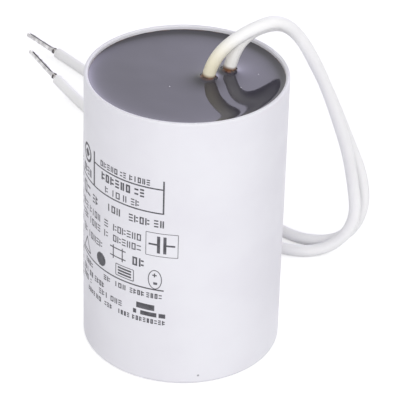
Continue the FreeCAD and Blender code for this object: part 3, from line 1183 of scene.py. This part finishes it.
    def execute(self, context):
        leads, ends = context.scene.capacitor_leads, context.scene.capacitor_ends
        self.tree = stranded_conductor_tree()
        self.sleeve_metal = metal(
            "sleeve_metal", ends.bright, ends.dull, scale=700.0, depth=0.00002
        )
        for name, sleeve_node, route, tail, length, stain in (
            ("lead_1", "end_sleeve_1", LEAD_1_ROUTE, LEAD_1_TAIL, leads.free_1, leads.stain_1),
            ("lead_2", "end_sleeve_2", LEAD_2_ROUTE, LEAD_2_TAIL, leads.free_2, leads.stain_2),
        ):
            self.make_lead(context, name, sleeve_node, route, tail, length, stain)
        return {"FINISHED"}


class CAPACITOR_OT_print(bpy.types.Operator):
    """Print generic rules, bars and plain signs on the cup's wall"""

    bl_idname = "capacitor.print"
    bl_label = "Print"

    # The print's lengths are in millimetres: x along the wall, from its foremost line to the
    # right, and z up it.

    # Plain shapes of a row, as bars in a unit square: middle, width and height. They are a
    # pair of posts, a hoop, three bars, a post, two bars, and a post beside two bars. A bar's
    # size of 0 is the width of a stroke.
    SHAPES = (
        ((0.1, 0.5, 0, 1), (0.9, 0.5, 0, 1)),
        ((0.5, 0.0, 1, 0), (0.5, 1.0, 1, 0), (0.0, 0.5, 0, 1), (1.0, 0.5, 0, 1)),
        ((0.5, 0.0, 1, 0), (0.5, 0.5, 1, 0), (0.5, 1.0, 1, 0)),
        ((0.5, 0.5, 0, 1),),
        ((0.5, 0.15, 1, 0), (0.5, 0.85, 1, 0)),
        ((0.0, 0.5, 0, 1), (0.8, 0.2, 0.3, 0), (0.8, 0.8, 0.3, 0)),
    )
    # Order of the shapes in a row, and their pitch as a share of the row's height
    ORDER = (1, 5, 2, 0, 1, 4, 2, 5, 3, 1, 0, 2, 5)
    PITCH = 0.78
    # Longest part of a rule, so that it follows the round wall
    PART = 1.6
    # Overlap of the short bars of a ring
    OVERLAP = 0.03

    def bar(self, x, z, width, height, angle=0.0):
        """A bar by its middle, its size and its turn."""
        self.bars.append((x, z, width, height, angle))

    def rule(self, start, end, height, line):
        """A level bar, in parts that each follow the wall."""
        parts = math.ceil((end - start) / self.PART)
        step = (end - start) / parts
        for part in range(parts):
            self.bar(start + (part + 0.5) * step, height, step, line)

    def upright(self, x, low, high, line):
        """A bar that stands."""
        self.bar(x, (low + high) / 2, line, high - low)

    def box(self, left, right, low, high, line):
        """The outline of a box."""
        for height in (low, high):
            self.rule(left, right, height, line)
        for x in (left, right):
            self.upright(x, low, high, line)

    def ring(self, x, z, wide, tall, line, parts=32):
        """A round or oval line of short bars."""
        for part in range(parts):
            angle = 2 * math.pi * (part + 0.5) / parts
            step_x = -wide * math.sin(angle)
            step_z = tall * math.cos(angle)
            length = math.hypot(step_x, step_z) * 2 * math.pi / parts + self.OVERLAP
            place_x = x + wide * math.cos(angle)
            place_z = z + tall * math.sin(angle)
            self.bar(place_x, place_z, length, line, -math.atan2(step_z, step_x))

    def disc(self, x, z, radius, bars=12):
        """A filled round mark of level bars."""
        tall = 2 * radius / bars
        for bar in range(bars):
            height = (bar + 0.5) * tall - radius
            self.bar(x, z + height, 2 * math.sqrt(radius**2 - height**2), tall)

    def triangle(self, left, right, low, high, line):
        """The outline of a triangle that stands on one side."""
        middle = (left + right) / 2
        self.rule(left, right, low, line)
        for start, end in ((left, middle), (right, middle)):
            wide, tall = end - start, high - low
            length = math.hypot(wide, tall)
            angle = -math.atan2(tall, wide)
            self.bar((start + end) / 2, (low + high) / 2, length, line, angle)

    def words(self, low, high, line, *spans):
        """A row of simple shapes in place of letters, from each span's start to its end."""
        tall = high - low - line
        for start, end in spans:
            shapes = max(1, round((end - start) / (self.PITCH * (high - low))))
            pitch = (end - start) / shapes
            wide = pitch - 2.0 * line
            for place in range(shapes):
                left = start + place * pitch + 0.5 * line
                shape = self.SHAPES[self.ORDER[self.placed % len(self.ORDER)]]
                self.placed += 1
                for x, z, bar_wide, bar_tall in shape:
                    self.bar(
                        left + x * wide,
                        low + line / 2 + z * tall,
                        bar_wide * wide + line,
                        bar_tall * tall + line,
                    )

    def plates(self, x, z, size, line):
        """The sign for a capacitor: two plates with a lead on each."""
        inner, outer, half = 0.13 * size, 0.55 * size, 0.4 * size
        self.upright(x - inner, z - half, z + half, 1.6 * line)
        self.upright(x + inner, z - half, z + half, 1.6 * line)
        self.rule(x - outer, x - inner, z, line)
        self.rule(x + inner, x + outer, z, line)

    def draw_field(self, line):
        """The field at the top, with three rows in it."""
        self.upright(-23.7, 44.8, 53.5, 2.0 * line)
        self.upright(-4.15, 44.7, 53.0, 1.3 * line)
        self.rule(-23.7, -4.15, 50.85, 1.2 * line)
        self.rule(-44.0, -4.15, 44.8, 1.2 * line)
        self.words(51.4, 52.8, line, (-21.0, -15.2), (-14.75, -12.9), (-12.25, -7.0))
        self.words(48.1, 50.1, 1.5 * line, (-20.6, -11.6), (-10.9, -8.2))
        self.words(45.4, 47.0, line, (-19.3, -18.1), (-17.3, -14.5))
        self.words(45.4, 47.0, line, (-13.9, -12.6), (-11.75, -9.5))

    def draw_badge(self, line):
        """A plain round sign beside the field, with a row under it."""
        self.ring(-27.5, 51.2, 2.0, 2.0, 2.2 * line)
        self.bar(-27.5, 51.2, 1.7, 1.7, math.radians(45))
        self.words(45.8, 47.7, 1.2 * line, (-30.0, -24.8))

    def draw_rating(self, line):
        """The rows under the field, with the boldest at their left."""
        self.words(40.3, 43.4, 1.5 * line, (-29.75, -25.4))
        self.words(40.3, 42.4, 1.4 * line, (-24.3, -21.8))
        self.words(41.2, 43.0, 1.2 * line, (-18.6, -14.25), (-12.25, -6.9), (-6.2, -3.6))
        for low in (36.8, 34.1):
            self.words(low, low + 1.7, line, (-30.6, -26.8), (-26.0, -20.8))
            self.words(low, low + 1.7, line, (-19.5, -18.0), (-16.6, -8.9))

    def draw_signs(self, line):
        """Plain signs, boxed, crossed, round and three-cornered, with the rows among them."""
        self.box(-8.0, -0.8, 33.8, 39.7, 0.5 * line)
        self.plates(-4.4, 36.75, 5.4, 1.6 * line)
        self.words(30.3, 32.0, line, (-30.2, -27.5), (-26.6, -20.0))
        for height in (30.4, 32.6):
            self.rule(-17.5, -13.0, height, line)
        for x in (-16.5, -13.9):
            self.upright(x, 29.7, 33.2, line)
        self.words(30.1, 32.3, 1.5 * line, (-11.2, -8.0))
        self.disc(-20.7, 27.3, 1.65)
        self.box(-15.7, -10.9, 25.8, 28.7, 0.7 * line)
        for height in (26.5, 27.25, 28.0):
            self.rule(-15.1, -11.5, height, 1.6 * line)
        self.ring(-5.8, 27.6, 1.5, 2.4, 0.7 * line)
        self.bar(-5.9, 28.7, 1.0, line)
        self.bar(-5.9, 28.7, line, 1.0)
        self.bar(-5.7, 26.6, 0.9, 0.6)
        self.triangle(-29.8, -25.6, 25.8, 29.3, 1.2 * line)

    def draw_foot(self, line):
        """A long rule, the small rows under it and a few blocks."""
        self.rule(-44.0, -3.75, 24.95, 1.2 * line)
        self.words(22.6, 23.9, line, (-28.3, -24.1), (-19.6, -17.2), (-16.1, -12.6))
        self.words(22.6, 23.9, line, (-11.8, -8.0), (-7.7, -3.9))
        self.words(20.1, 21.5, line, (-29.8, -26.6), (-25.9, -23.9), (-23.3, -19.3))
        self.words(18.0, 19.4, line, (-30.2, -26.6), (-25.6, -24.8), (-21.4, -18.0))
        self.words(18.0, 19.4, line, (-17.25, -13.7))
        self.bar(-7.95, 20.0, 4.3, 1.5)
        self.bar(-10.5, 18.2, 0.8, 1.1)
        self.rule(-9.1, -5.3, 18.2, 1.1)
        self.rule(-4.8, -3.3, 18.2, 1.1)
        self.words(15.8, 17.0, line, (-26.6, -23.0), (-22.7, -20.4), (-19.3, -16.6))
        self.words(15.8, 17.0, line, (-15.0, -11.6), (-11.1, -3.1))

    def draw_side(self, line):
        """The part that runs on round the left side, out of the photograph's sight."""
        self.ring(-37.0, 50.0, 3.0, 3.0, 1.5 * line)
        self.words(45.8, 47.7, 1.2 * line, (-44.0, -39.0), (-38.0, -32.0))
        self.words(40.3, 43.4, 1.8 * line, (-44.0, -38.0), (-36.6, -31.4))
        for low in (36.8, 34.1, 30.3):
            self.words(low, low + 1.7, line, (-44.0, -40.2), (-39.2, -32.0))
        self.box(-43.5, -38.0, 25.9, 29.2, line)
        self.words(26.4, 28.7, 1.4 * line, (-36.8, -32.0))
        for low in (22.6, 20.1, 18.0, 15.8):
            self.words(low, low + 1.3, line, (-44.0, -38.6), (-37.4, -31.6))

    def execute(self, context):
        marks = context.scene.capacitor_print
        line = marks.line / MILLIMETRE
        self.bars, self.placed = [], 0
        self.draw_field(line)
        self.draw_badge(line)
        self.draw_rating(line)
        self.draw_signs(line)
        self.draw_foot(line)
        self.draw_side(line)
        points, sizes, turns = [], [], []
        for x, z, wide, tall, angle in self.bars:
            points.append((x * MILLIMETRE, 0, z * MILLIMETRE))
            # The bars are a millimetre thick until they are wrapped on the wall
            sizes += (wide * MILLIMETRE, MILLIMETRE, tall * MILLIMETRE)
            turns.append(angle)
        seedling = mesh_of("print_places", points, [])
        seedling.attributes.new("size", "FLOAT_VECTOR", "POINT").data.foreach_set("vector", sizes)
        seedling.attributes.new("turn", "FLOAT", "POINT").data.foreach_set("value", turns)
        ink = printed_ink(marks)
        values = {
            "Wall Radius": CUP_RADIUS,
            "Raised": marks.raised,
            "Sunk": marks.sunk,
            "Material": ink,
        }
        mesh = grown("print", wall_print_tree(), values, seedling)
        piece_of("printed_marks", mesh, ink, "case_plastic")
        return {"FINISHED"}


class CAPACITOR_OT_inner(bpy.types.Operator):
    """Finish the pieces that are sealed in the resin"""

    bl_idname = "capacitor.inner"
    bl_label = "Sealed pieces"

    def execute(self, context):
        sprayed = metal(
            "sprayed_metal", (0.50, 0.50, 0.52), (0.32, 0.32, 0.34), scale=1600.0, depth=0.00012
        )
        solder = metal(
            "solder", (0.66, 0.66, 0.67), (0.45, 0.45, 0.46), scale=500.0, depth=0.00004
        )
        finishes = {
            "film_roll": winding_film(),
            "core_tube": core_plastic(),
            "contact_top": sprayed,
            "contact_bottom": sprayed,
            "solder_joint_top": solder,
            "solder_joint_bottom": solder,
        }
        for node, material in finishes.items():
            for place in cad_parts[node].material_slots:
                place.material = material
        return {"FINISHED"}


class CAPACITOR_OT_stage(bpy.types.Operator):
    """Set up the camera, the floor and the light"""

    bl_idname = "capacitor.stage"
    bl_label = "Stage"

    FLOOR_SIZE = 6.0
    FLOOR_TONE = (0.66, 0.66, 0.67, 1)
    # White light added to the floor, where only the camera and reflections see it
    FLOOR_GLOW = 0.55
    WHITE = (1, 1, 1, 1)
    # Width of the camera's sensor, in millimetres, and the nearest and farthest that it sees
    SENSOR = 36
    NEAREST = 0.02
    FARTHEST = 20
    # What the lamps point at
    TARGET = Vector((0, 0, 0.035))
    # Place, width and height of each lamp, and the colour of the one behind
    FRONT_LAMPS = {
        "key": ((-0.15, -1.0, 0.80), 1.2, 0.9),
        "front": ((-0.15, -1.3, 0.37), 1.5, 0.7),
        "fill": ((1.0, -0.3, 0.6), 0.8, 0.8),
    }
    BACK_LAMP = ((0.48, 1.36, 0.67), 2.0, 2.0)
    BACK_TINT = (0.74, 0.69, 1.0)

    def camera(self, stage):
        """The camera at the photograph's viewing angle."""
        ahead = Vector((0, math.cos(stage.elevation), -math.sin(stage.elevation)))
        right = Vector((1, 0, 0))
        up = right.cross(ahead)
        turned_right = math.cos(stage.roll) * right + math.sin(stage.roll) * up
        turned_up = math.cos(stage.roll) * up - math.sin(stage.roll) * right
        matrix = Matrix((turned_right, turned_up, -ahead)).transposed().to_4x4()
        matrix.translation = Vector((stage.aside, 0, stage.height)) - ahead * stage.distance
        data = bpy.data.cameras.new("camera")
        data.lens = stage.lens
        data.sensor_width = self.SENSOR
        data.clip_start = self.NEAREST
        data.clip_end = self.FARTHEST
        camera = bpy.data.objects.new("camera", data)
        camera.matrix_world = matrix
        bpy.context.scene.collection.objects.link(camera)
        bpy.context.scene.camera = camera

    def lamp(self, name, power, place, width, height):
        """A soft lamp that points at the cup."""
        data = bpy.data.lights.new(name, "AREA")
        data.shape = "RECTANGLE"
        data.energy = power
        data.size = width
        data.size_y = height
        lamp = bpy.data.objects.new(name, data)
        lamp.location = place
        lamp.rotation_euler = (self.TARGET - Vector(place)).to_track_quat("-Z", "Y").to_euler()
        lamp.visible_camera = False
        bpy.context.scene.collection.objects.link(lamp)
        return lamp

    def fade(self, lamp, reach):
        """Let a lamp fade out from its middle, as a large soft box does."""
        lamp.data.use_nodes = True
        tree = lamp.data.node_tree
        place = add_node(tree, "ShaderNodeNewGeometry").outputs["Position"]
        away = away_from(tree, place, lamp.location)
        strength = tree.nodes["Emission"].inputs["Strength"]
        tree.links.new(spread(tree, away, 0.0, reach, 1.0, 0.0), strength)

    def backdrop(self, tree, plain, seen_as):
        """A shader that the camera, reflections and clear surfaces see as another."""
        ray = add_node(tree, "ShaderNodeLightPath").outputs
        either = maths(tree, "MAXIMUM", ray["Is Camera Ray"], ray["Is Glossy Ray"])
        any_of = maths(tree, "MAXIMUM", either, ray["Is Transmission Ray"])
        return add_node(tree, "ShaderNodeMixShader", {0: any_of, 1: plain, 2: seen_as}).outputs[0]

    def world(self, strength):
        """Even light, which the camera and reflections see as white."""
        world = bpy.data.worlds.new("world")
        bpy.context.scene.world = world
        world.use_nodes = True
        tree = world.node_tree
        tree.nodes.clear()
        even = add_node(tree, "ShaderNodeBackground", {0: self.WHITE, 1: strength}).outputs[0]
        white = add_node(tree, "ShaderNodeBackground", {0: self.WHITE, 1: 1.0}).outputs[0]
        add_node(tree, "ShaderNodeOutputWorld", {0: self.backdrop(tree, even, white)})

    def floor(self):
        """A pale floor that takes the object's shadow."""
        half = self.FLOOR_SIZE / 2
        corners = [(-half, -half, 0), (half, -half, 0), (half, half, 0), (-half, half, 0)]
        mesh = mesh_of("floor", corners, [(0, 1, 2, 3)])
        material = bpy.data.materials.new("floor")
        material.use_nodes = True
        tree = material.node_tree
        tree.nodes.clear()
        matt = add_node(tree, "ShaderNodeBsdfDiffuse", {0: self.FLOOR_TONE}).outputs[0]
        glow = add_node(tree, "ShaderNodeEmission", {0: self.WHITE, 1: self.FLOOR_GLOW}).outputs[0]
        lit = add_node(tree, "ShaderNodeAddShader", {0: matt, 1: glow}).outputs[0]
        add_node(tree, "ShaderNodeOutputMaterial", {0: self.backdrop(tree, matt, lit)})
        mesh.materials.append(material)
        floor = bpy.data.objects.new("floor", mesh)
        bpy.context.scene.collection.objects.link(floor)

    def execute(self, context):
        stage = context.scene.capacitor_stage
        self.camera(stage)
        self.world(stage.world)
        self.floor()
        for name, shape in self.FRONT_LAMPS.items():
            lamp = self.lamp(name, getattr(stage, name), *shape)
            # The resin doesn't mirror it, and so is dark from behind too
            lamp.visible_glossy = False
        back = self.lamp("back", stage.back, *self.BACK_LAMP)
        back.data.color = self.BACK_TINT
        self.fade(back, stage.fade)
        context.scene.view_settings.view_transform = "Standard"
        return {"FINISHED"}


class CAPACITOR_PT_panel(bpy.types.Panel):
    """The capacitor's pieces"""

    bl_idname = "CAPACITOR_PT_panel"
    bl_label = "Capacitor"
    bl_space_type = "VIEW_3D"
    bl_region_type = "UI"
    bl_category = "Capacitor"

    def draw(self, context):
        """List the operators and the settings."""
        for operator in OPERATORS:
            self.layout.operator(operator.bl_idname)
        for name in SETTINGS:
            box = self.layout.box()
            settings = getattr(context.scene, name)
            for key in settings.__annotations__:
                box.prop(settings, key)


OPERATORS = (
    CAPACITOR_OT_stage,
    CAPACITOR_OT_leads,
    CAPACITOR_OT_cup,
    CAPACITOR_OT_resin,
    CAPACITOR_OT_print,
    CAPACITOR_OT_inner,
)
CLASSES = (*SETTINGS.values(), *OPERATORS, CAPACITOR_PT_panel)


def register():
    for item in CLASSES:
        bpy.utils.register_class(item)
    for name, settings in SETTINGS.items():
        setattr(bpy.types.Scene, name, bpy.props.PointerProperty(type=settings))


def unregister():
    for name in SETTINGS:
        delattr(bpy.types.Scene, name)
    for item in reversed(CLASSES):
        bpy.utils.unregister_class(item)


def main():
    register()
    bpy.ops.capacitor.stage()
    bpy.ops.capacitor.leads()
    bpy.ops.capacitor.cup()
    bpy.ops.capacitor.resin()
    bpy.ops.capacitor.print()
    bpy.ops.capacitor.inner()


if __name__ == "__main__":
    main()
